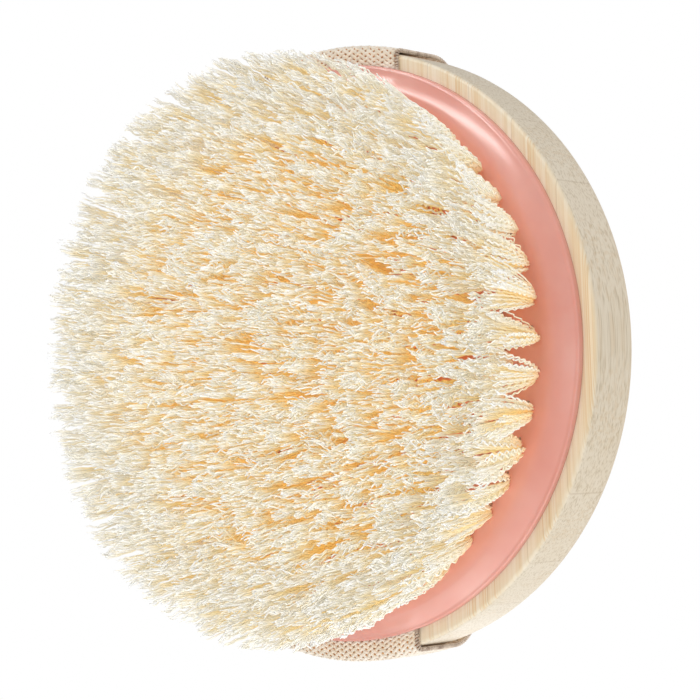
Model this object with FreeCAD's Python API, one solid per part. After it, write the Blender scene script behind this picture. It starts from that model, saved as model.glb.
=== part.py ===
import FreeCAD, Part
import math
import os

# Body dry brush: a round wooden disc with a hollow rubber cushion that carries rings of
# plant-fibre tufts, and a webbing hand strap over the back. Everything is in millimetres.
# The bristle tips stand on z = 0, the disc's axis is the Z axis, +Z goes up through the
# back of the wood to the strap, and the strap runs along Y.

# Wooden disc and the air chamber under the cushion
WOOD_RADIUS = 63.0
WOOD_THICKNESS = 15.5
WOOD_FRONT_ROUND = 0.9
WOOD_BACK_ROUND = 4.0
RIM_Z = 28.0
CHAMBER_RADIUS = 55.5
CHAMBER_DEPTH = 6.0

# Rubber cushion
CUSHION_RADIUS = 59.9
LIP_THICKNESS = 1.6
LIP_ROUND = 0.5
DOME_HEIGHT = 4.5
RUBBER = 1.8
SHOULDER_RADIUS = 4.6
PLATEAU_RADIUS = 54.2

# Backing cloth bonded inside the cushion
CLOTH_RADIUS = 53.0
CLOTH_THICKNESS = 0.8

# Fibre tufts and the wire anchors that hold them
RING_RADII = [51.3 - 6.8 * step for step in range(8)]
TUFT_PITCH = 7.33
TUFT_SPLAY = 1.1
TIP_RADIUS = 3.7
ROOT_RADIUS = 1.45
ROOT_OVER_CLOTH = 0.9
ANCHOR_LENGTH = 3.4
ANCHOR_WIDTH = 0.35
ANCHOR_HEIGHT = 1.4
ANCHOR_PROUD = 0.35
ANCHOR_OFFSET = -0.5

# Webbing hand strap
STRAP_WIDTH = 36.0
STRAP_THICKNESS = 1.0
STRAP_SIDE_GAP = 0.4
STRAP_EDGE_BEND = 1.9
STRAP_BACK_BEND = 8.0
ARCH_RADIUS = 84.0
HAND_GAP = 29.0
NOTCH_CLEARANCE = 0.05

# Steel staples, one each side of the middle of a strap end
STAPLE_CROWN = 9.0
STAPLE_LEG = 6.0
STAPLE_WIRE = 0.5
STAPLE_SPACING = 17.0
STAPLE_RADIUS = 57.6

PLATEAU_Z = RIM_Z - DOME_HEIGHT
BACK_Z = RIM_Z + WOOD_THICKNESS
Z_AXIS = FreeCAD.Vector(0, 0, 1)


def vec(x, y, z):
    return FreeCAD.Vector(x, y, z)


def line(a, b):
    return Part.LineSegment(a, b).toShape()


def arc(a, mid, b):
    return Part.Arc(a, mid, b).toShape()


def round_edge(shape, radius, z):
    """Rounds the outer circular edge that lies at height z."""
    edges = [
        e for e in shape.Edges
        if isinstance(e.Curve, Part.Circle)
        and abs(e.CenterOfMass.z - z) < 1e-6
        and abs(e.Curve.Radius - WOOD_RADIUS) < 1e-6
    ]
    return shape.makeFillet(radius, edges)


def wood_disc():
    disc = Part.makeCylinder(WOOD_RADIUS, WOOD_THICKNESS, vec(0, 0, RIM_Z))
    disc = round_edge(disc, WOOD_FRONT_ROUND, RIM_Z)
    disc = round_edge(disc, WOOD_BACK_ROUND, BACK_Z)
    chamber = Part.makeCylinder(CHAMBER_RADIUS, CHAMBER_DEPTH, vec(0, 0, RIM_Z))
    return disc.cut(chamber)


def cushion_shell():
    """The membrane: a flat lip on the rim, a rounded shoulder and a flat plateau."""
    lip_z = RIM_Z - LIP_THICKNESS
    centre_z = PLATEAU_Z + SHOULDER_RADIUS
    inner_radius = SHOULDER_RADIUS - RUBBER

    def on_shoulder(radius, angle):
        return vec(PLATEAU_RADIUS + radius * math.sin(angle), 0, centre_z - radius * math.cos(angle))

    outer_end = math.acos((centre_z - lip_z) / SHOULDER_RADIUS)
    inner_end = math.acos((centre_z - RIM_Z) / inner_radius)
    round_45 = LIP_ROUND * (1 - math.sqrt(0.5))
    edges = [
        line(vec(0, 0, PLATEAU_Z), on_shoulder(SHOULDER_RADIUS, 0)),
        arc(
            on_shoulder(SHOULDER_RADIUS, 0),
            on_shoulder(SHOULDER_RADIUS, outer_end / 2),
            on_shoulder(SHOULDER_RADIUS, outer_end),
        ),
        line(on_shoulder(SHOULDER_RADIUS, outer_end), vec(CUSHION_RADIUS - LIP_ROUND, 0, lip_z)),
        arc(
            vec(CUSHION_RADIUS - LIP_ROUND, 0, lip_z),
            vec(CUSHION_RADIUS - round_45, 0, lip_z + round_45),
            vec(CUSHION_RADIUS, 0, lip_z + LIP_ROUND),
        ),
        line(vec(CUSHION_RADIUS, 0, lip_z + LIP_ROUND), vec(CUSHION_RADIUS, 0, RIM_Z)),
        line(vec(CUSHION_RADIUS, 0, RIM_Z), on_shoulder(inner_radius, inner_end)),
        arc(
            on_shoulder(inner_radius, inner_end),
            on_shoulder(inner_radius, inner_end / 2),
            on_shoulder(inner_radius, 0),
        ),
        line(on_shoulder(inner_radius, 0), vec(0, 0, PLATEAU_Z + RUBBER)),
        line(vec(0, 0, PLATEAU_Z + RUBBER), vec(0, 0, PLATEAU_Z)),
    ]
    face = Part.Face(Part.Wire(edges))
    return face.revolve(vec(0, 0, 0), Z_AXIS, 360)


def backing_cloth():
    return Part.makeCylinder(CLOTH_RADIUS, CLOTH_THICKNESS, vec(0, 0, PLATEAU_Z + RUBBER))


def ring_places(radius):
    """The angle of each tuft of a ring, in degrees; every other ring is turned by half a step."""
    count = round(2 * math.pi * radius / TUFT_PITCH)
    half_step = 180.0 / count if RING_RADII.index(radius) % 2 else 0.0
    return [360.0 * i / count + half_step for i in range(count)]


def around(shape, angle):
    turned = shape.copy()
    turned.rotate(vec(0, 0, 0), Z_AXIS, angle)
    return turned


def circle_wire(radius, x, z):
    return Part.Wire(Part.makeCircle(radius, vec(x, 0, z)))


def anchor(radius):
    corner = vec(
        radius - ANCHOR_WIDTH / 2,
        ANCHOR_OFFSET - ANCHOR_LENGTH / 2,
        PLATEAU_Z - ANCHOR_PROUD,
    )
    return Part.makeBox(ANCHOR_WIDTH, ANCHOR_LENGTH, ANCHOR_HEIGHT, corner)


def tuft(radius):
    """A bundle that leans outwards and spreads from its root to its tip, slotted for its anchor."""
    top = PLATEAU_Z + RUBBER + CLOTH_THICKNESS + ROOT_OVER_CLOTH
    spread = Part.makeLoft(
        [circle_wire(TIP_RADIUS, radius * TUFT_SPLAY, 0), circle_wire(ROOT_RADIUS, radius, PLATEAU_Z)],
        True,
        True,
    )
    root = Part.makeCylinder(ROOT_RADIUS, top - PLATEAU_Z, vec(radius, 0, PLATEAU_Z))
    return spread.fuse(root).cut(anchor(radius))


def root_holes():
    """Cutters for the holes that the tufts' roots pass through in the rubber and the cloth."""
    depth = 2 + RUBBER + CLOTH_THICKNESS
    holes = []
    for radius in RING_RADII:
        hole = Part.makeCylinder(ROOT_RADIUS, depth, vec(radius, 0, PLATEAU_Z - 1))
        holes += [around(hole, angle) for angle in ring_places(radius)]
    return Part.makeCompound(holes)


def strap_band():
    """The strap's full profile in the YZ plane, extruded across its width.

    From one end it lies on the rim, turns round the edge, runs up the side, bends over the
    back and arches across it, and goes down the other side the same way.
    """
    side_y = WOOD_RADIUS + STRAP_SIDE_GAP + STRAP_THICKNESS
    end_y = math.sqrt(CHAMBER_RADIUS ** 2 - (STRAP_WIDTH / 2) ** 2) - 1
    arch_top = BACK_Z + HAND_GAP + STRAP_THICKNESS
    arch_z = arch_top - ARCH_RADIUS
    bend_y = side_y - STRAP_BACK_BEND
    bend_z = arch_z + math.sqrt((ARCH_RADIUS - STRAP_BACK_BEND) ** 2 - bend_y ** 2)
    lean = math.atan2(bend_z - arch_z, bend_y)
    edge_y = side_y - STRAP_EDGE_BEND
    edge_z = RIM_Z - STRAP_THICKNESS + STRAP_EDGE_BEND

    def contour(inset):
        """The half on the +Y side, from the end on the rim to the top of the arch."""
        edge_r = STRAP_EDGE_BEND - inset
        bend_r = STRAP_BACK_BEND - inset
        arch_r = ARCH_RADIUS - inset
        low = RIM_Z - STRAP_THICKNESS + inset

        def polar(cy, cz, r, angle):
            return vec(0, cy + r * math.cos(angle), cz + r * math.sin(angle))

        start = polar(0, arch_z, arch_r, lean)
        middle = polar(0, arch_z, arch_r, (lean + math.pi / 2) / 2)
        top = polar(0, arch_z, arch_r, math.pi / 2)
        return [
            line(vec(0, end_y, low), vec(0, edge_y, low)),
            arc(
                vec(0, edge_y, low),
                polar(edge_y, edge_z, edge_r, -math.pi / 4),
                polar(edge_y, edge_z, edge_r, 0),
            ),
            line(polar(edge_y, edge_z, edge_r, 0), polar(bend_y, bend_z, bend_r, 0)),
            arc(
                polar(bend_y, bend_z, bend_r, 0),
                polar(bend_y, bend_z, bend_r, lean / 2),
                polar(bend_y, bend_z, bend_r, lean),
            ),
            arc(start, middle, top),
        ]

    outside = contour(0)
    inside = contour(STRAP_THICKNESS)
    ends = [
        line(outside[0].Vertexes[0].Point, inside[0].Vertexes[0].Point),
        line(outside[-1].Vertexes[-1].Point, inside[-1].Vertexes[-1].Point),
    ]
    face = Part.Face(Part.Wire(Part.__sortEdges__(outside + inside + ends)))
    half = face.extrude(vec(STRAP_WIDTH, 0, 0))
    half.translate(vec(-STRAP_WIDTH / 2, 0, 0))
    return half.fuse(around(half, 180)).removeSplitter()


def hand_strap(staples):
    """The strap's ends are trimmed to the curve of the chamber's wall."""
    trim_z = RIM_Z - 1.5 * STRAP_THICKNESS
    trim = Part.makeCylinder(CHAMBER_RADIUS, 2 * STRAP_THICKNESS, vec(0, 0, trim_z))
    return strap_band().cut(trim).cut(staples)


def staple(x):
    """A flat-wire staple whose crown is sunk flush in the strap and whose legs stand in the rim."""
    y = math.sqrt(STAPLE_RADIUS ** 2 - x ** 2)
    low = RIM_Z - STRAP_THICKNESS
    crown = Part.makeBox(STAPLE_CROWN, STAPLE_WIRE, STAPLE_WIRE, vec(x - STAPLE_CROWN / 2, y, low))
    piece = crown
    for leg_x in (x - STAPLE_CROWN / 2, x + STAPLE_CROWN / 2 - STAPLE_WIRE):
        piece = piece.fuse(Part.makeBox(STAPLE_WIRE, STAPLE_WIRE, STAPLE_LEG, vec(leg_x, y, low)))
    return piece.removeSplitter()


def staple_pair():
    return Part.makeCompound([staple(side * STAPLE_SPACING / 2) for side in (-1, 1)])


def strap_notches():
    """Room for the strap's ends in the underside of the cushion's lip."""
    width = STRAP_WIDTH + 2 * NOTCH_CLEARANCE
    height = STRAP_THICKNESS + NOTCH_CLEARANCE
    box = Part.makeBox(width, WOOD_RADIUS, height, vec(-width / 2, 0, RIM_Z - height))
    return Part.makeCompound([box, around(box, 180)])


def check(name, shape):
    if not shape.isValid() or not shape.Solids:
        raise ValueError(name + " isn't a valid solid")
    print(name, len(shape.Solids), "solids,", round(shape.Volume, 1), "mm3")


os.makedirs("parts", exist_ok=True)

staples_a = staple_pair()
staples_b = around(staples_a, 180)
all_staples = Part.makeCompound([staples_a, staples_b])
holes = root_holes()

nodes = {
    "wood_base": wood_disc().cut(all_staples),
    "hand_strap": hand_strap(all_staples),
    "strap_staples_a": staples_a,
    "strap_staples_b": staples_b,
    "cushion": cushion_shell().cut(strap_notches()).cut(holes),
    "backing_cloth": backing_cloth().cut(holes),
}
for number, radius in enumerate(RING_RADII, 1):
    places = ring_places(radius)
    nodes["tufts_ring_%d" % number] = Part.makeCompound([around(tuft(radius), a) for a in places])
    nodes["anchors_ring_%d" % number] = Part.makeCompound([around(anchor(radius), a) for a in places])

for name, shape in nodes.items():
    check(name, shape)
    shape.exportStep("parts/" + name + ".step")
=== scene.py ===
import math

import bpy
import numpy as np
from mathutils import Matrix, Vector


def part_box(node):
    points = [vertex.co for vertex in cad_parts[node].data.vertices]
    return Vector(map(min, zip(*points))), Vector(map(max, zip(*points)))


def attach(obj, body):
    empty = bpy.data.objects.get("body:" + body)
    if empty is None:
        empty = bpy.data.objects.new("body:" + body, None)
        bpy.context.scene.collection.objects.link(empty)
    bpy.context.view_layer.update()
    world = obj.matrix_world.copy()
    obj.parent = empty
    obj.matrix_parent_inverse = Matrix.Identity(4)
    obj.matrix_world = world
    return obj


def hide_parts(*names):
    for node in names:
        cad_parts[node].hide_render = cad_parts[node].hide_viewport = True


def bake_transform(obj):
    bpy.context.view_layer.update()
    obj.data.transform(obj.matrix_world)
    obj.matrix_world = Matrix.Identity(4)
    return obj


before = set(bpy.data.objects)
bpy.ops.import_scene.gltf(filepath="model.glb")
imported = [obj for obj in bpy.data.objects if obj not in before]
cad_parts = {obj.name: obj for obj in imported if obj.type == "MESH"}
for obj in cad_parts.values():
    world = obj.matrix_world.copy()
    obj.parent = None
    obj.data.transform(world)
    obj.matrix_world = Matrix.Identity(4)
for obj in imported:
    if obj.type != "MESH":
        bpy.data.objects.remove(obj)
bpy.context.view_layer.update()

MM = 0.001

# Sizes taken from the frame
WOOD_LOW, WOOD_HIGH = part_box("wood_base")
CUSHION_LOW, CUSHION_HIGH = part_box("cushion")
STRAP_LOW, STRAP_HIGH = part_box("hand_strap")
WOOD_RADIUS = WOOD_HIGH.x
RIM_Z = WOOD_LOW.z
BACK_Z = WOOD_HIGH.z
CUSHION_RADIUS = CUSHION_HIGH.x
PLATEAU_Z = CUSHION_LOW.z

# Sizes of the design that the frame's boxes don't give
WOOD_FRONT_ROUND = 0.9 * MM
WOOD_BACK_ROUND = 4.0 * MM
CHAMBER_RADIUS = 55.5 * MM
CHAMBER_DEPTH = 6.0 * MM
LIP_THICKNESS = 1.6 * MM
LIP_ROUND = 0.5 * MM
RUBBER = 1.8 * MM
SHOULDER_RADIUS = 4.6 * MM
SHOULDER_TURN = 30
PLATEAU_RADIUS = 54.2 * MM
RING_RADII = [(51.3 - 6.8 * step) * MM for step in range(8)]
TUFT_PITCH = 7.33 * MM
TUFT_SPLAY = 1.1
STRAP_THICKNESS = 1.0 * MM
STRAP_EDGE_BEND = 1.9 * MM
STRAP_BACK_BEND = 8.0 * MM
ARCH_RADIUS = 84.0 * MM


# ---------------------------------------------------------------- mesh helpers

def new_object(name, mesh):
    obj = bpy.data.objects.new(name, mesh)
    bpy.context.scene.collection.objects.link(obj)
    return obj


def smooth(mesh):
    mesh.polygons.foreach_set("use_smooth", np.ones(len(mesh.polygons), bool))
    mesh.update()


def lathe(name, profile, count):
    """A closed surface of revolution about Z; the profile's first and last points are on the axis."""
    inner = np.array(profile[1:-1])
    angle = np.arange(count) * 2 * math.pi / count
    rings = np.empty((len(inner), count, 3))
    rings[:, :, 0] = inner[:, 0, None] * np.cos(angle)
    rings[:, :, 1] = inner[:, 0, None] * np.sin(angle)
    rings[:, :, 2] = inner[:, 1, None]
    points = [tuple(p) for p in rings.reshape(-1, 3)]
    start = len(points)
    points += [(0, 0, profile[0][1]), (0, 0, profile[-1][1])]
    last = (len(inner) - 1) * count
    faces = []
    for j in range(count):
        k = (j + 1) % count
        faces.append((start, k, j))
        faces.append((start + 1, last + j, last + k))
        for i in range(len(inner) - 1):
            a, b = i * count, (i + 1) * count
            faces.append((a + j, a + k, b + k, b + j))
    mesh = bpy.data.meshes.new(name)
    mesh.from_pydata(points, [], faces)
    smooth(mesh)
    return new_object(name, mesh)


def arc_points(cx, cz, radius, start, end, steps):
    """Points of an arc in the (radius, height) plane, from angle start to angle end in degrees."""
    angles = np.radians(np.linspace(start, end, steps + 1))
    return [(cx + radius * math.cos(a), cz + radius * math.sin(a)) for a in angles]


def rows(start, end, steps):
    """Points between two profile points, both of which are left out."""
    return [
        (start[0] + (end[0] - start[0]) * i / steps, start[1] + (end[1] - start[1]) * i / steps)
        for i in range(1, steps)
    ]


def tube_mesh(name, centre, side_u, side_v, radius_u, radius_v, sides, tint=None):
    """One mesh of many tubes.

    centre, side_u and side_v are (tubes, stations, 3) arrays, and radius_u and radius_v are
    (tubes, stations). Each tube is closed by a cap at both ends. Each tube has its own cell of
    the baking map, and tint is a colour for each station.
    """
    tubes, stations = centre.shape[:2]
    turn = np.arange(sides) * 2 * math.pi / sides
    points = (
        centre[:, :, None]
        + side_u[:, :, None] * (radius_u[:, :, None] * np.cos(turn))[..., None]
        + side_v[:, :, None] * (radius_v[:, :, None] * np.sin(turn))[..., None]
    )
    index = np.arange(tubes * stations * sides).reshape(tubes, stations, sides)
    after = np.roll(index, -1, axis=2)
    quads = np.stack([index[:, :-1], after[:, :-1], after[:, 1:], index[:, 1:]], axis=-1).reshape(-1, 4)
    caps = np.concatenate([index[:, 0, ::-1], index[:, -1]])
    loops = np.concatenate([quads.ravel(), caps.ravel()]).astype(np.int32)
    sizes = np.concatenate([np.full(len(quads), 4), np.full(len(caps), sides)]).astype(np.int32)
    mesh = bpy.data.meshes.new(name)
    mesh.vertices.add(points.size // 3)
    mesh.vertices.foreach_set("co", points.astype(np.float32).ravel())
    mesh.loops.add(len(loops))
    mesh.loops.foreach_set("vertex_index", loops)
    mesh.polygons.add(len(sizes))
    mesh.polygons.foreach_set("loop_start", np.concatenate([[0], np.cumsum(sizes)[:-1]]).astype(np.int32))
    mesh.polygons.foreach_set("loop_total", sizes)
    mesh.update(calc_edges=True)
    smooth(mesh)
    across = math.ceil(math.sqrt(tubes))
    cell = np.arange(tubes)
    uv = np.empty((tubes, stations, sides, 2))
    uv[..., 0] = (cell % across)[:, None, None] + 0.2 + 0.6 * np.linspace(0, 1, sides)
    uv[..., 1] = (cell // across)[:, None, None] + 0.1 + 0.8 * np.linspace(0, 1, stations)[:, None]
    layer = mesh.uv_layers.new(name="OFBake")
    layer.data.foreach_set("uv", (uv / across).reshape(-1, 2)[loops].astype(np.float32).ravel())
    if tint is not None:
        colour = np.ones((tubes, stations, sides, 4), np.float32)
        colour[..., :3] = tint[:, :, None]
        layer = mesh.color_attributes.new(name="tint", type="FLOAT_COLOR", domain="POINT")
        layer.data.foreach_set("color", colour.ravel())
    return new_object(name, mesh)


def unit(v):
    return v / np.maximum(np.linalg.norm(v, axis=-1, keepdims=True), 1e-12)


def tangents(centre):
    return unit(np.gradient(centre, axis=1))


# ------------------------------------------------------------ material helpers

def linear(red, green, blue):
    """A colour written as 8-bit sRGB, as the linear values that shaders take."""
    def one(c):
        c /= 255
        return c / 12.92 if c <= 0.04045 else ((c + 0.055) / 1.055) ** 2.4
    return (one(red), one(green), one(blue), 1.0)


class Shader:
    """A material with one Principled shader, and short calls for the nodes that feed it."""

    def __init__(self, name, roughness, **constants):
        self.material = bpy.data.materials.new(name)
        self.material.use_nodes = True
        self.tree = self.material.node_tree
        self.shader = self.tree.nodes["Principled BSDF"]
        self.shader.inputs["Roughness"].default_value = roughness
        for socket, value in constants.items():
            self.shader.inputs[socket.replace("_", " ")].default_value = value

    def node(self, kind, **settings):
        made = self.tree.nodes.new("ShaderNode" + kind)
        for key, value in settings.items():
            setattr(made, key, value)
        return made

    def feed(self, socket, value):
        if isinstance(value, bpy.types.NodeSocket):
            self.tree.links.new(value, socket)
        else:
            socket.default_value = value

    def place(self, scale):
        """Object coordinates stretched by scale, a number of pattern units per metre on each axis."""
        mapping = self.node("Mapping")
        self.feed(mapping.inputs["Vector"], self.node("TexCoord").outputs["Object"])
        mapping.inputs["Scale"].default_value = scale
        return mapping.outputs["Vector"]

    def noise(self, scale, detail=3.0, roughness=0.5, distortion=0.0):
        made = self.node("TexNoise")
        self.feed(made.inputs["Vector"], self.place(scale))
        made.inputs["Scale"].default_value = 1.0
        made.inputs["Detail"].default_value = detail
        made.inputs["Roughness"].default_value = roughness
        made.inputs["Distortion"].default_value = distortion
        return made.outputs["Fac"]

    def ramp(self, value, *stops):
        """A colour ramp through (position, colour) stops."""
        made = self.node("ValToRGB")
        elements = made.color_ramp.elements
        while len(elements) < len(stops):
            elements.new(0.5)
        for element, (position, colour) in zip(elements, stops):
            element.position = position
            element.color = colour
        self.feed(made.inputs["Fac"], value)
        return made.outputs["Color"]

    def span(self, value, low, high, to_low=0.0, to_high=1.0):
        made = self.node("MapRange")
        self.feed(made.inputs["Value"], value)
        for socket, number in zip(("From Min", "From Max", "To Min", "To Max"), (low, high, to_low, to_high)):
            made.inputs[socket].default_value = number
        return made.outputs["Result"]

    def math(self, operation, a, b):
        made = self.node("Math", operation=operation)
        self.feed(made.inputs[0], a)
        self.feed(made.inputs[1], b)
        return made.outputs["Value"]

    def mix(self, factor, a, b, kind="MIX"):
        made = self.node("Mix", data_type="RGBA", blend_type=kind)
        self.feed(made.inputs["Factor"], factor)
        self.feed(made.inputs["A"], a)
        self.feed(made.inputs["B"], b)
        return made.outputs["Result"]

    def facing_up(self):
        """How far the surface faces along Z: 0 on a side wall, 1 on a front or back face."""
        split = self.node("SeparateXYZ")
        self.feed(split.inputs["Vector"], self.node("NewGeometry").outputs["Normal"])
        return self.math("ABSOLUTE", split.outputs["Z"], 0.0)

    def colour(self, value):
        self.feed(self.shader.inputs["Base Color"], value)

    def roughness(self, value):
        self.feed(self.shader.inputs["Roughness"], value)

    def bump(self, height, strength, distance):
        made = self.node("Bump")
        made.inputs["Strength"].default_value = strength
        made.inputs["Distance"].default_value = distance
        self.feed(made.inputs["Height"], height)
        self.feed(self.shader.inputs["Normal"], made.outputs["Normal"])


WHITE = (1, 1, 1, 1)


def wood_material():
    """Pale laminated bamboo in strips 10 mm wide.

    Its faces have groups of thin ochre fibre lines along Y, and its wall has end-grain specks.
    """
    s = Shader("pale_bamboo", 0.5, Specular_IOR_Level=0.35)
    split = s.node("SeparateXYZ")
    s.feed(split.inputs["Vector"], s.place((100, 100, 100)))
    strip = s.math("ADD", split.outputs["X"], 100.5)
    tone = s.node("TexWhiteNoise", noise_dimensions="1D")
    s.feed(tone.inputs["W"], s.math("FLOOR", strip, 0.0))
    seam = s.span(s.math("ABSOLUTE", s.math("SUBTRACT", s.math("FRACT", strip, 0.0), 0.5), 0.0), 0.487, 0.497)
    thin = s.noise((3800, 9, 700), 2, 0.5)
    lines = s.noise((1300, 12, 420), 4, 0.6)
    groups = s.noise((170, 2, 60), 2, 0.5)
    specks = s.noise((2600, 80, 2600), 2, 0.5)
    cloud = s.noise((60, 6, 40), 2)
    base = s.mix(cloud, linear(243, 230, 207), linear(250, 241, 222))
    fine = s.ramp(lines, (0.35, linear(242, 232, 212)), (0.62, WHITE))
    base = s.mix(0.7, base, fine, "MULTIPLY")
    streak = s.math("MULTIPLY", s.span(thin, 0.5, 0.6), s.span(groups, 0.44, 0.6, 0.08, 0.62))
    base = s.mix(streak, base, linear(226, 192, 138))
    pale = s.mix(s.span(specks, 0.48, 0.7), linear(224, 214, 197), linear(190, 174, 148))
    pale = s.mix(s.math("MULTIPLY", streak, 0.2), pale, linear(205, 178, 134))
    wall = s.span(s.facing_up(), 0.15, 0.75, 0.8, 0.0)
    both = s.mix(wall, base, pale)
    both = s.mix(s.math("MULTIPLY", tone.outputs["Value"], 0.3), both, linear(240, 224, 196), "MULTIPLY")
    s.colour(s.mix(s.math("MULTIPLY", seam, 0.28), both, linear(168, 140, 100)))
    s.roughness(s.span(lines, 0.3, 0.7, 0.42, 0.6))
    s.bump(lines, 0.12, 0.15 * MM)
    return s.material


def rubber_material():
    """Smooth, slightly glossy rubber with a faint moulding texture."""
    s = Shader("pink_rubber", 0.22, Specular_IOR_Level=0.5, Subsurface_Weight=0.25, Subsurface_Scale=1.5 * MM)
    s.shader.inputs["Subsurface Radius"].default_value = (1.0, 0.45, 0.3)
    cloud = s.noise((70, 70, 70), 3)
    s.colour(s.ramp(cloud, (0.3, linear(232, 160, 146)), (0.7, linear(238, 174, 161))))
    grain = s.noise((1400, 1400, 1400), 2)
    s.roughness(s.span(cloud, 0.3, 0.7, 0.19, 0.25))
    s.bump(grain, 0.05, 0.1 * MM)
    return s.material


def fibre_material():
    """Plant fibre: its colour is held by the mesh, root to tip and fibre by fibre, with painted shade in
    amber toward the roots and in a tuft's middle.
    """
    s = Shader("plant_fibre", 0.5, Specular_IOR_Level=0.3, Sheen_Weight=0.15)
    s.colour(s.node("VertexColor", layer_name="tint").outputs["Color"])
    return s.material


def yarn_material(name, light, dark):
    """Cotton yarn with fine twisted plies."""
    s = Shader(name, 0.85, Specular_IOR_Level=0.2, Sheen_Weight=0.2)
    cloud = s.noise((500, 500, 500), 3)
    s.colour(s.ramp(cloud, (0.35, dark), (0.6, light)))
    s.bump(s.noise((9000, 9000, 9000), 2), 0.4, 0.05 * MM)
    return s.material


def steel_material(name, colour):
    """Drawn steel wire with a slightly stained surface."""
    s = Shader(name, 0.4, Metallic=1.0)
    cloud = s.noise((2500, 2500, 2500), 2)
    red, green, blue = colour[:3]
    s.colour(s.ramp(cloud, (0.3, (red * 0.6, green * 0.55, blue * 0.5, 1)), (0.7, colour)))
    return s.material


def canvas_material():
    """Plain cotton canvas."""
    s = Shader("canvas", 0.9)
    cloud = s.noise((900, 900, 900), 2)
    s.colour(s.ramp(cloud, (0.3, linear(205, 194, 172)), (0.7, linear(226, 218, 200))))
    return s.material


def floor_material():
    """A pale floor that only shows from above, so that the view from below is clear."""
    s = Shader("studio_floor", 0.9, Specular_IOR_Level=0.1)
    s.colour(s.ramp(s.noise((3, 3, 3), 2), (0.3, linear(236, 235, 233)), (0.7, linear(241, 240, 238))))
    mix = s.node("MixShader")
    s.feed(mix.inputs[0], s.node("NewGeometry").outputs["Backfacing"])
    s.feed(mix.inputs[1], s.shader.outputs["BSDF"])
    s.feed(mix.inputs[2], s.node("BsdfTransparent").outputs["BSDF"])
    s.feed(s.tree.nodes["Material Output"].inputs["Surface"], mix.outputs[0])
    return s.material


def dress(obj, material):
    obj.data.materials.clear()
    obj.data.materials.append(material)


# ------------------------------------------------------------ camera and stage

CAMERA_DISTANCE = 0.5
CAMERA_OFF_AXIS = math.radians(38.5)
CAMERA_AZIMUTH = math.radians(184.8)
CAMERA_ROLL = math.radians(-2.0)
CAMERA_LENS = 123.1
AIM_RIGHT = 1.8 * MM
AIM_UP = 0.6 * MM


def make_camera():
    """The camera looks up at the bristles, with the strap upright in the picture."""
    centre = Vector((0, 0, RIM_Z))
    flat = math.sin(CAMERA_OFF_AXIS)
    back = Vector((
        flat * math.cos(CAMERA_AZIMUTH),
        flat * math.sin(CAMERA_AZIMUTH),
        -math.cos(CAMERA_OFF_AXIS),
    ))
    right = Vector((0, 1, 0)).cross(back).normalized()
    up = back.cross(right)
    turn = Matrix.Rotation(CAMERA_ROLL, 3, back)
    right = turn @ right
    up = turn @ up
    data = bpy.data.cameras.new("camera")
    data.lens = CAMERA_LENS
    data.clip_start = 0.01
    camera = bpy.data.objects.new("camera", data)
    bpy.context.scene.collection.objects.link(camera)
    place = centre + back * CAMERA_DISTANCE + right * AIM_RIGHT + up * AIM_UP
    camera.matrix_world = Matrix.Translation(place) @ Matrix((right, up, back)).transposed().to_4x4()
    bpy.context.scene.camera = camera
    return right, up, back


def soft_box(name, place, size, power, depth=None, shadows=True):
    """An area light at place that faces the brush: square, or a strip of the given depth along Z."""
    data = bpy.data.lights.new(name, "AREA")
    data.size = size
    if depth:
        data.shape = "RECTANGLE"
        data.size_y = depth
    data.energy = power
    data.use_shadow = shadows
    light = bpy.data.objects.new(name, data)
    bpy.context.scene.collection.objects.link(light)
    middle = Vector((0, 0, RIM_Z / 2))
    light.location = middle + place
    light.rotation_euler = place.to_track_quat("Z", "Y").to_euler()
    light.visible_camera = False
    return light


def make_world(background, ambient):
    world = bpy.data.worlds.new("studio")
    bpy.context.scene.world = world
    world.use_nodes = True
    tree = world.node_tree
    plain = tree.nodes["Background"]
    plain.inputs["Color"].default_value = WHITE
    plain.inputs["Strength"].default_value = ambient
    seen = tree.nodes.new("ShaderNodeBackground")
    seen.inputs["Color"].default_value = WHITE
    seen.inputs["Strength"].default_value = background
    mix = tree.nodes.new("ShaderNodeMixShader")
    path = tree.nodes.new("ShaderNodeLightPath")
    tree.links.new(path.outputs["Is Camera Ray"], mix.inputs[0])
    tree.links.new(plain.outputs[0], mix.inputs[1])
    tree.links.new(seen.outputs[0], mix.inputs[2])
    tree.links.new(mix.outputs[0], tree.nodes["World Output"].inputs["Surface"])


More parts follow.
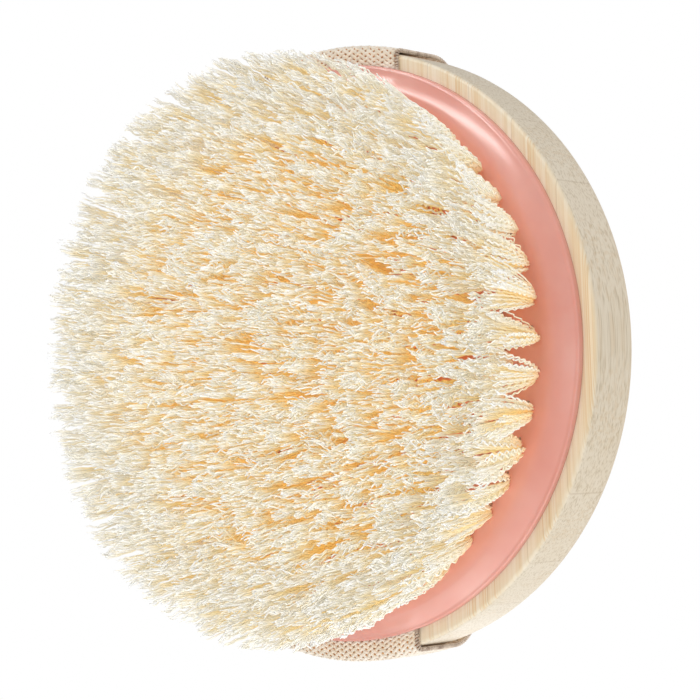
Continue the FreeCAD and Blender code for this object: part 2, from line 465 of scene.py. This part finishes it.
def make_stage():
    """The floor under the tips, and soft boxes on both sides of it.

    The three glows stand in for the light that passes through thin fibres: only fibres get it,
    and nothing shades it. The shine gives gloss alone, for the streak along the rubber's shoulder.
    """
    half = 3.0
    corner_places = [(-half, -half, 0), (half, -half, 0), (half, half, 0), (-half, half, 0)]
    mesh = bpy.data.meshes.new("floor")
    mesh.from_pydata(corner_places, [], [(0, 1, 2, 3)])
    floor = new_object("floor", mesh)
    dress(floor, floor_material())
    floor.visible_shadow = False
    floor.visible_diffuse = False
    floor.visible_transmission = False
    right, up, back = make_camera()
    make_world(1.0, 0.4)
    front = Vector((0, 0, -1))
    fibres_only = bpy.data.collections.new("fibres")
    for name, place, power, colour in (
        ("glow_top", back * 0.36 - right * 0.15 + up * 0.62, 2.3, (1, 1, 1)),
        ("glow_bottom", back * 0.36 - right * 0.15 - up * 0.62, 2.3, (1, 1, 1)),
        ("glow_side", back * 0.3 + right * 0.65, 0.95, (1, 0.78, 0.48)),
    ):
        glow = soft_box(name, place, 0.4, power, shadows=False)
        glow.data.color = colour
        glow.light_linking.receiver_collection = fibres_only
    soft_box("key_left", back * 0.45 - right * 0.55 + up * 0.1, 0.45, 0.5)
    soft_box("front_fill", back * 0.7 + right * 0.25, 0.5, 1.3)
    soft_box("strip_top", front * 0.06 + up * 0.38 + right * 0.44, 0.45, 0.3, depth=0.08)
    shine = soft_box("rubber_shine", back * 0.17 - right * 0.22 + up * 0.48, 0.5, 3.0, depth=0.08)
    shine.visible_diffuse = False
    soft_box("strip_bottom", front * 0.06 - up * 0.38 + right * 0.44, 0.45, 1.0, depth=0.08)
    soft_box("box_top", front * 0.45 + up * 0.5, 0.35, 1.2)
    soft_box("box_bottom", front * 0.25 - up * 0.6, 0.35, 1.6)
    soft_box("back_key", Vector((0.45, -0.45, 0.7)), 0.5, 2.0)
    soft_box("back_fill", Vector((-0.4, 0.4, 0.6)), 0.5, 1.0)
    bpy.context.scene.cycles.max_bounces = 16
    bpy.context.scene.cycles.diffuse_bounces = 12
    bpy.context.scene.view_settings.view_transform = "Standard"


# --------------------------------------------------------------------- the wood

def make_wood():
    """The disc with its rounded edges, and the air chamber in its front."""
    front = arc_points(WOOD_RADIUS - WOOD_FRONT_ROUND, RIM_Z + WOOD_FRONT_ROUND, WOOD_FRONT_ROUND, -90, 0, 6)
    back = arc_points(WOOD_RADIUS - WOOD_BACK_ROUND, BACK_Z - WOOD_BACK_ROUND, WOOD_BACK_ROUND, 0, 90, 12)
    floor_z = RIM_Z + CHAMBER_DEPTH
    profile = [(0, floor_z)]
    profile += rows((0, floor_z), (CHAMBER_RADIUS, floor_z), 6)
    profile += [(CHAMBER_RADIUS, floor_z), (CHAMBER_RADIUS, floor_z - 0.01 * MM)]
    profile += [(CHAMBER_RADIUS, RIM_Z + 0.01 * MM), (CHAMBER_RADIUS, RIM_Z)]
    profile += rows((CHAMBER_RADIUS, RIM_Z), front[0], 6) + front
    profile += rows(front[-1], back[0], 6) + back
    profile += rows(back[-1], (0, BACK_Z), 10) + [(0, BACK_Z)]
    wood = lathe("wood_disc", profile, 256)
    dress(wood, wood_material())
    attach(wood, "base")
    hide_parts("wood_base")


# ------------------------------------------------------------------ the cushion

def tuft_roots():
    """For each ring, the roots' places on the cushion as an array of (x, y)."""
    rings = []
    for number, radius in enumerate(RING_RADII):
        count = round(2 * math.pi * radius / TUFT_PITCH)
        angle = (np.arange(count) + (0.5 if number % 2 else 0.0)) * 2 * math.pi / count
        rings.append(np.stack([radius * np.cos(angle), radius * np.sin(angle)], axis=1))
    return rings


def cushion_profile():
    """A rounded shoulder, then a wide shallow arc that meets it smoothly and runs to the lip."""
    lip_z = RIM_Z - LIP_THICKNESS
    centre_z = PLATEAU_Z + SHOULDER_RADIUS
    inner = SHOULDER_RADIUS - RUBBER
    outer_end = SHOULDER_TURN - 90
    inner_end = -90 + math.degrees(math.acos((centre_z - RIM_Z) / inner))
    shoulder = arc_points(PLATEAU_RADIUS, centre_z, SHOULDER_RADIUS, -90, outer_end, 16)
    lip = arc_points(CUSHION_RADIUS - LIP_ROUND, lip_z + LIP_ROUND, LIP_ROUND, -90, 0, 5)
    hollow = arc_points(PLATEAU_RADIUS, centre_z, inner, inner_end, -90, 8)
    out, rise = lip[0][0] - shoulder[-1][0], lip[0][1] - shoulder[-1][1]
    half_turn = math.atan2(rise, out) - math.radians(SHOULDER_TURN)
    slope = math.hypot(out, rise) / (2 * math.sin(half_turn))
    slope_x = shoulder[-1][0] - slope * math.cos(math.radians(outer_end))
    slope_z = shoulder[-1][1] - slope * math.sin(math.radians(outer_end))
    wide = arc_points(slope_x, slope_z, slope, outer_end, outer_end + math.degrees(2 * half_turn), 8)
    profile = [(0, PLATEAU_Z)] + rows((0, PLATEAU_Z), shoulder[0], 90) + shoulder
    profile += wide[1:-1] + lip + rows(lip[-1], (CUSHION_RADIUS, RIM_Z), 4)
    profile += [(CUSHION_RADIUS, RIM_Z)] + hollow
    profile += rows(hollow[-1], (0, PLATEAU_Z + RUBBER), 6) + [(0, PLATEAU_Z + RUBBER)]
    return profile


def make_cushion():
    """The membrane, puckered round each tuft's root and lifted where the strap passes under its lip."""
    cushion = lathe("cushion_skin", cushion_profile(), 352)
    mesh = cushion.data
    points = np.empty(len(mesh.vertices) * 3, np.float32)
    mesh.vertices.foreach_get("co", points)
    points = points.reshape(-1, 3).astype(float)
    x, y, z = points.T
    radius = np.hypot(x, y)
    roots = np.concatenate(tuft_roots())
    near = np.full(len(points), 1.0)
    for root in roots:
        near = np.minimum(near, np.hypot(x - root[0], y - root[1]))
    outer = z < PLATEAU_Z + 0.3 * MM
    pucker = -0.22 * MM * np.exp(-(((near - 2.1 * MM) / (0.55 * MM)) ** 2))
    dimple = 0.45 * MM * np.exp(-((near / (1.5 * MM)) ** 2))
    z += np.where(outer & (radius < PLATEAU_RADIUS), pucker + dimple, 0)
    half_width = STRAP_HIGH.x
    under_strap = np.clip((half_width + 1.2 * MM - np.abs(x)) / (1.0 * MM), 0, 1)
    under_strap *= (radius > 56.5 * MM) & (np.abs(y) > 50 * MM)
    notch_z = RIM_Z - STRAP_THICKNESS - 0.05 * MM
    lifted = z - 0.35 * MM * np.clip((radius - 57 * MM) / (1.5 * MM), 0, 1)
    z += under_strap * (np.minimum(lifted, notch_z) - z)
    points[:, 2] = z
    mesh.vertices.foreach_set("co", points.astype(np.float32).ravel())
    mesh.update()
    dress(cushion, rubber_material())
    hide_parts("cushion")
    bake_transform(cushion)


# -------------------------------------------------------------------- the tufts

LOCKS_PER_TUFT = 20
FIBRES_PER_LOCK = 4
FIBRE_RADIUS = 0.2 * MM
CRIMP_LENGTH = 3.5 * MM
CRIMP_HEIGHT = 0.11 * MM
OUTER_CRIMP_HEIGHT = 0.38 * MM
STEPS_PER_CRIMP = 5
INNER_CRIMPED_LENGTH = 12 * MM
HIDDEN_STEPS = 4
MOST_OUTER_TUFTS_PER_PIECE = 7
MOST_INNER_TUFTS_PER_PIECE = 12
ROOT_SPREAD = 1.1 * MM
TIP_SPREAD = 6.3 * MM
TIP_REACH = 59.4 * MM
LOCK_LEAN = 0.35 * MM
FIBRE_LEAN = 0.2 * MM
STRAY_LEAN = 1.6 * MM
STRAY_SHARE = 0.05
SHORTEST_LOCK = 2.4 * MM
SHORTER_FIBRE = 0.55 * MM
TIP_CLEARANCE = 0.1 * MM
FLARE_POWER = 0.78
BOW = 0.6 * MM
# How far a tuft's middle fibres take the deep amber tint, as painted shade.
INSIDE_SHADE_AMBER = 0.8

# The tip and middle tints are the fibre's own cream. The root and deep tints are painted shade: amber toward
# the roots, where less light gets in among the fibres.
TIP_TINT = linear(235, 234, 229)
MIDDLE_TINT = linear(239, 235, 218)
ROOT_SHADE_TINT = linear(240, 217, 178)
DEEP_SHADE_TINT = linear(246, 220, 144)


def disc_points(rng, shape, radius, power=0.5):
    """Random (x, y) points over a disc; a power of 0.5 spreads them evenly."""
    r = radius * rng.random(shape) ** power
    a = rng.random(shape) * 2 * math.pi
    return np.stack([r * np.cos(a), r * np.sin(a)], axis=-1)


def fibre_tint(share, outer):
    """The colour of fibres at a share of their length from the root, in outer or inner tufts. Toward the root
    it is painted shade, amber where less light gets in among the fibres.
    """
    if outer:
        places, colours = (0, 0.12, 0.4, 1), (ROOT_SHADE_TINT, ROOT_SHADE_TINT, MIDDLE_TINT, TIP_TINT)
    else:
        places, colours = (0, 0.6, 0.86, 1), (DEEP_SHADE_TINT, DEEP_SHADE_TINT, MIDDLE_TINT, TIP_TINT)
    return np.stack([np.interp(share, places, [c[k] for c in colours]) for k in range(3)], axis=-1)


def fibres(name, roots, outer, rng):
    """The crimped fibres of some tufts, as one mesh.

    The fibres of a tuft are in locks that share a lean, a height and a crimp. Stations follow
    each fibre's own crimp, a fifth of a wave apart. In inner tufts the lower part, which
    nothing shows, has only a few. A tuft's middle fibres are painted amber up to near their
    tips: painted shade for the inside of a tuft, which less light reaches.
    """
    tufts = len(roots)
    locks = (tufts, LOCKS_PER_TUFT, 1)
    each = (tufts, LOCKS_PER_TUFT, FIBRES_PER_LOCK)
    lock_spot = disc_points(rng, locks, 0.9, 0.6)
    edge = np.clip((np.linalg.norm(lock_spot, axis=-1) - 0.5) / 0.35, 0, 1)
    spot = lock_spot + disc_points(rng, each, 0.12) * (1 + 1.6 * edge[..., None])
    root = roots[:, None, None] + spot * ROOT_SPREAD
    tip = roots[:, None, None] * TUFT_SPLAY + spot * TIP_SPREAD
    tip = tip + rng.normal(0, LOCK_LEAN, locks + (2,)) + rng.normal(0, FIBRE_LEAN, each + (2,))
    stray = rng.random(each + (1,)) < STRAY_SHARE
    tip = tip + stray * rng.normal(0, STRAY_LEAN, each + (2,))
    size = np.linalg.norm(tip, axis=-1, keepdims=True)
    tip *= np.minimum(1, (TIP_REACH + (size - TIP_REACH) * 0.3) / size)

    top_z = PLATEAU_Z + 0.6 * RUBBER
    tip_z = SHORTEST_LOCK * rng.random(locks) ** 2
    tip_z = tip_z + np.abs(rng.normal(0, SHORTER_FIBRE, each)) + TIP_CLEARANCE
    uneven = np.clip(rng.normal(0, 0.12, locks), -0.2, 0.2)
    uneven = uneven + np.clip(rng.normal(0, 0.012, each), -0.03, 0.03)
    wave = CRIMP_LENGTH * (1 + uneven)
    phase = rng.random(locks) * 2 * math.pi + rng.normal(0, 0.25, each)
    plane = rng.random(locks) * math.pi + rng.normal(0, 0.3, each)
    height = CRIMP_HEIGHT + (OUTER_CRIMP_HEIGHT - CRIMP_HEIGHT) * edge
    height = height * (0.55 + 0.9 * rng.random(locks)) * (1 + rng.normal(0, 0.12, each))

    step = wave / STEPS_PER_CRIMP
    crimped = (top_z - tip_z) if outer else np.full(each, INNER_CRIMPED_LENGTH)
    count = int(np.max(np.floor(crimped / step)))
    along = np.arange(count + 1) * step[..., None]
    if outer:
        along = np.minimum(along, (top_z - tip_z)[..., None] - np.arange(count, -1, -1) * 1e-6)
    else:
        last = along[..., -1:]
        rest = (top_z - tip_z)[..., None] - last
        hidden = last + rest * np.arange(1, HIDDEN_STEPS + 1) / HIDDEN_STEPS
        along = np.concatenate([along, hidden], -1)
    z = tip_z[..., None] + along
    share = np.clip((top_z - z) / (top_z - tip_z)[..., None], 0, 1)
    ease = share ** FLARE_POWER
    swing = np.sin(along / wave[..., None] * 2 * math.pi + phase[..., None])
    swing *= height[..., None] * np.clip(share * 4, 0, 1)
    bow = disc_points(rng, locks, BOW)[..., None, :] * (share * (1 - share) * 4)[..., None]
    flat = root[..., None, :] * (1 - ease[..., None]) + tip[..., None, :] * ease[..., None] + bow
    across = np.stack([np.cos(plane), np.sin(plane)], axis=-1)[..., None, :]
    flat = flat + across * swing[..., None]
    centre = np.concatenate([flat, z[..., None]], axis=-1)

    tubes = tufts * LOCKS_PER_TUFT * FIBRES_PER_LOCK
    centre = centre.reshape(tubes, -1, 3)
    normal = np.stack([-np.sin(plane), np.cos(plane), np.zeros(each)], axis=-1).reshape(tubes, 1, 3)
    run = tangents(centre)
    side_v = unit(np.cross(run, normal))
    side_u = unit(np.cross(side_v, run))
    share = share.reshape(tubes, -1)
    radius = FIBRE_RADIUS * (1 + rng.normal(0, 0.12, (tubes, 1))) * (1.05 - 0.1 * share)
    radius[:, 0] *= 0.6

    shade = 1 + rng.normal(0, 0.03, (tubes, 1, 1))
    warm = rng.normal(0, 0.035, (tubes, 1, 1)) * np.array([0.1, 0.5, 1.6])
    # Painted shade: fibres in a tuft's middle are tinted toward the deep amber, as if less light reached
    # them.
    shaded_inside = 1 - np.clip((np.linalg.norm(lock_spot, axis=-1) - 0.25) / 0.4, 0, 1)
    shaded_inside = np.broadcast_to(shaded_inside, each).reshape(tubes, 1, 1) * (1 - share[..., None] ** 4)
    tint = fibre_tint(share, outer)
    tint += (np.array(DEEP_SHADE_TINT[:3]) - tint) * INSIDE_SHADE_AMBER * shaded_inside
    tint = np.clip(tint * shade * (1 + warm), 0.02, 0.99)
    return tube_mesh(name, centre, side_u, side_v, radius, radius, 3, tint)


def make_tufts():
    """Each ring's fibres, split into pieces with few enough triangles."""
    material = fibre_material()
    rng = np.random.default_rng(7)
    for number, roots in enumerate(tuft_roots(), 1):
        outer = number <= 2
        most = MOST_OUTER_TUFTS_PER_PIECE if outer else MOST_INNER_TUFTS_PER_PIECE
        pieces = math.ceil(len(roots) / most)
        for i, some in enumerate(np.array_split(roots, pieces), 1):
            piece = fibres("fibres_%d_%d" % (number, i), some, outer, rng)
            dress(piece, material)
            bpy.data.collections["fibres"].objects.link(piece)
            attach(piece, "bristle_pad")
            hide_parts("tufts_ring_%d" % number)


# -------------------------------------------------------------------- the strap

YARN_PITCH = 2.14 * MM
YARN_SLOPE = 0.52
YARN_SWING = 0.2 * MM
YARN_HALF = (0.4 * MM, 0.2 * MM)
YARN_SIDES = 5
EDGE_PITCH = 0.62 * MM
HUG_START_Y = 55 * MM
HUG_WIDTH = 6 * MM
HUG_FADE = 18 * MM


def strap_line():
    """The strap's middle line in the YZ plane from one end to the other, as closely spaced points."""
    half = STRAP_THICKNESS / 2
    side_y = STRAP_HIGH.y
    arch_z = STRAP_HIGH.z - ARCH_RADIUS
    bend_y = side_y - STRAP_BACK_BEND
    bend_z = arch_z + math.sqrt((ARCH_RADIUS - STRAP_BACK_BEND) ** 2 - bend_y ** 2)
    lean = math.degrees(math.atan2(bend_z - arch_z, bend_y))
    edge_y = side_y - STRAP_EDGE_BEND
    edge_z = STRAP_LOW.z + STRAP_EDGE_BEND
    low = STRAP_LOW.z + half
    start_y = math.sqrt(CHAMBER_RADIUS ** 2 - STRAP_HIGH.x ** 2) + 1.5 * MM
    quarter = [(start_y, low)]
    quarter += arc_points(edge_y, edge_z, STRAP_EDGE_BEND - half, -90, 0, 12)
    quarter += arc_points(bend_y, bend_z, STRAP_BACK_BEND - half, 0, lean, 12)
    quarter += arc_points(0, arch_z, ARCH_RADIUS - half, lean, 90, 60)[1:]
    line = np.array(quarter)
    mirror = line[-2::-1] * (-1, 1)
    return np.concatenate([line, mirror])


class StrapPath:
    """Gives places on the strap from the distance along it, across it and out of it."""

    def __init__(self):
        self.line = strap_line()
        steps = np.linalg.norm(np.diff(self.line, axis=0), axis=1)
        self.along = np.concatenate([[0], np.cumsum(steps)])
        self.length = self.along[-1]

    def at(self, s):
        s = np.clip(s, 0, self.length)
        return np.stack([np.interp(s, self.along, self.line[:, k]) for k in (0, 1)], axis=-1)

    def place(self, s, x, out):
        """Row-frame points; out is towards the side that shows."""
        here = self.at(s)
        run = unit(self.at(s + 0.2 * MM) - self.at(s - 0.2 * MM))
        outward = np.stack([run[..., 1], -run[..., 0]], axis=-1)
        flat = here + outward * np.asarray(out)[..., None]
        x = np.broadcast_to(x, flat.shape[:-1])
        return self.hug(np.concatenate([x[..., None], flat], axis=-1))

    def hug(self, points):
        """Moves the side parts in against the round disc; the arch stays flat across its width."""
        x, y, z = np.moveaxis(points, -1, 0)
        gap = WOOD_RADIUS - np.sqrt(WOOD_RADIUS ** 2 - x ** 2)
        near = np.clip((np.abs(y) - HUG_START_Y) / HUG_WIDTH, 0, 1)
        share = np.where(z < BACK_Z, near, np.clip((BACK_Z + HUG_FADE - z) / HUG_FADE, 0, 1))
        share = share * share * (3 - 2 * share)
        return np.stack([x, y - np.sign(y) * gap * share, z], axis=-1)


def strap_tubes(name, path, s, x, out, half, material):
    """Yarns whose wide side lies in the strap's surface."""
    centre = path.place(s, x, out)
    step = 0.2 * MM
    across = path.place(s, x + step, out) - path.place(s, x - step, out)
    length = path.place(s + step, x, out) - path.place(s - step, x, out)
    run = tangents(centre)
    side_u = unit(np.cross(run, unit(np.cross(length, across))))
    side_v = unit(np.cross(side_u, run))
    wide = np.full(centre.shape[:2], half[0])
    deep = np.full(centre.shape[:2], half[1])
    yarns = tube_mesh(name, centre, side_u, side_v, wide, deep, YARN_SIDES)
    dress(yarns, material)
    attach(yarns, "base")
    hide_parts("hand_strap")
    return yarns


def diagonal_yarns(name, path, width, side, material):
    """One of the two families of yarns that cross the strap slantwise, each over and under the other."""
    reach = width / 2 * YARN_SLOPE
    pitch = YARN_PITCH * YARN_SLOPE
    first = math.ceil(-reach / pitch)
    number = np.arange(first, int((path.length + reach) / pitch) + 1)[:, None]
    x = np.arange(int(2 * width / YARN_PITCH) * 2 + 1) * YARN_PITCH / 4
    x = np.tile(x - x[-1] / 2, (len(number), 1))
    middle = number * pitch
    low = np.where(side > 0, -middle, middle - path.length) / YARN_SLOPE
    high = np.where(side > 0, path.length - middle, middle) / YARN_SLOPE
    x = np.where(x < low, low + (x - low) * 0.002, x)
    x = np.where(x > high, high + (x - high) * 0.002, x)
    s = middle + side * x * YARN_SLOPE
    other = (s + side * x * YARN_SLOPE) / pitch
    out = side * YARN_SWING * np.where(number % 2, -1, 1) * np.cos(other * math.pi)
    strap_tubes(name, path, s, x, out, YARN_HALF, material)


def make_strap():
    """Woven webbing: slanting yarns with small gaps between them, ribbed edges and a tan core. The core's
    colour is partly the webbing's own and partly painted shade, which shows as amber in the gaps.
    """
    path = StrapPath()
    width = STRAP_HIGH.x - STRAP_LOW.x
    yarn = yarn_material("cotton_yarn", linear(252, 242, 228), linear(242, 228, 208))
    edge_yarn = yarn_material("edge_yarn", linear(226, 210, 192), linear(182, 160, 142))
    # The core's orange-tan is partly the webbing's own colour and partly painted shade for the gaps between
    # the yarns.
    core_thread_gap_shade = yarn_material("core_thread_gap_shade", linear(206, 142, 74), linear(184, 116, 52))
    diagonal_yarns("strap_yarn_a", path, width - 1.2 * MM, 1, yarn)
    diagonal_yarns("strap_yarn_b", path, width - 1.2 * MM, -1, yarn)

    turns = path.length / EDGE_PITCH
    turn = np.linspace(0, turns * 2 * math.pi, int(turns * 7))
    for side, mark in ((-1, "a"), (1, "b")):
        edge = side * (width / 2 - 0.45 * MM)
        strap_tubes(
            "strap_edge_" + mark,
            path,
            (turn / (2 * math.pi) * EDGE_PITCH)[None],
            (edge + 0.3 * MM * np.cos(turn))[None],
            (0.34 * MM * np.sin(turn))[None],
            (0.2 * MM, 0.2 * MM),
            edge_yarn,
        )

    # A thin core sheet under the yarns, whose colour is partly painted shade seen through the weave's gaps.
    x = np.linspace(-1, 1, 17)[:, None] * (width / 2 - 1.7 * MM)
    s = np.tile(np.linspace(0, path.length, 400), (len(x), 1))
    strap_tubes("strap_core_gap_shade", path, s, x, 0 * s, (1.2 * MM, 0.06 * MM), core_thread_gap_shade)


# ------------------------------------------------------------- pieces from CAD

def dress_cad_nodes():
    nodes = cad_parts
    wire = steel_material("anchor_wire", (0.62, 0.5, 0.44, 1))
    staple = steel_material("staple_steel", (0.6, 0.6, 0.62, 1))
    for name, obj in nodes.items():
        if name.startswith("anchors_ring"):
            dress(obj, wire)
        elif name.startswith("strap_staples"):
            dress(obj, staple)
    dress(nodes["backing_cloth"], canvas_material())


make_stage()
make_wood()
make_cushion()
make_tufts()
make_strap()
dress_cad_nodes()
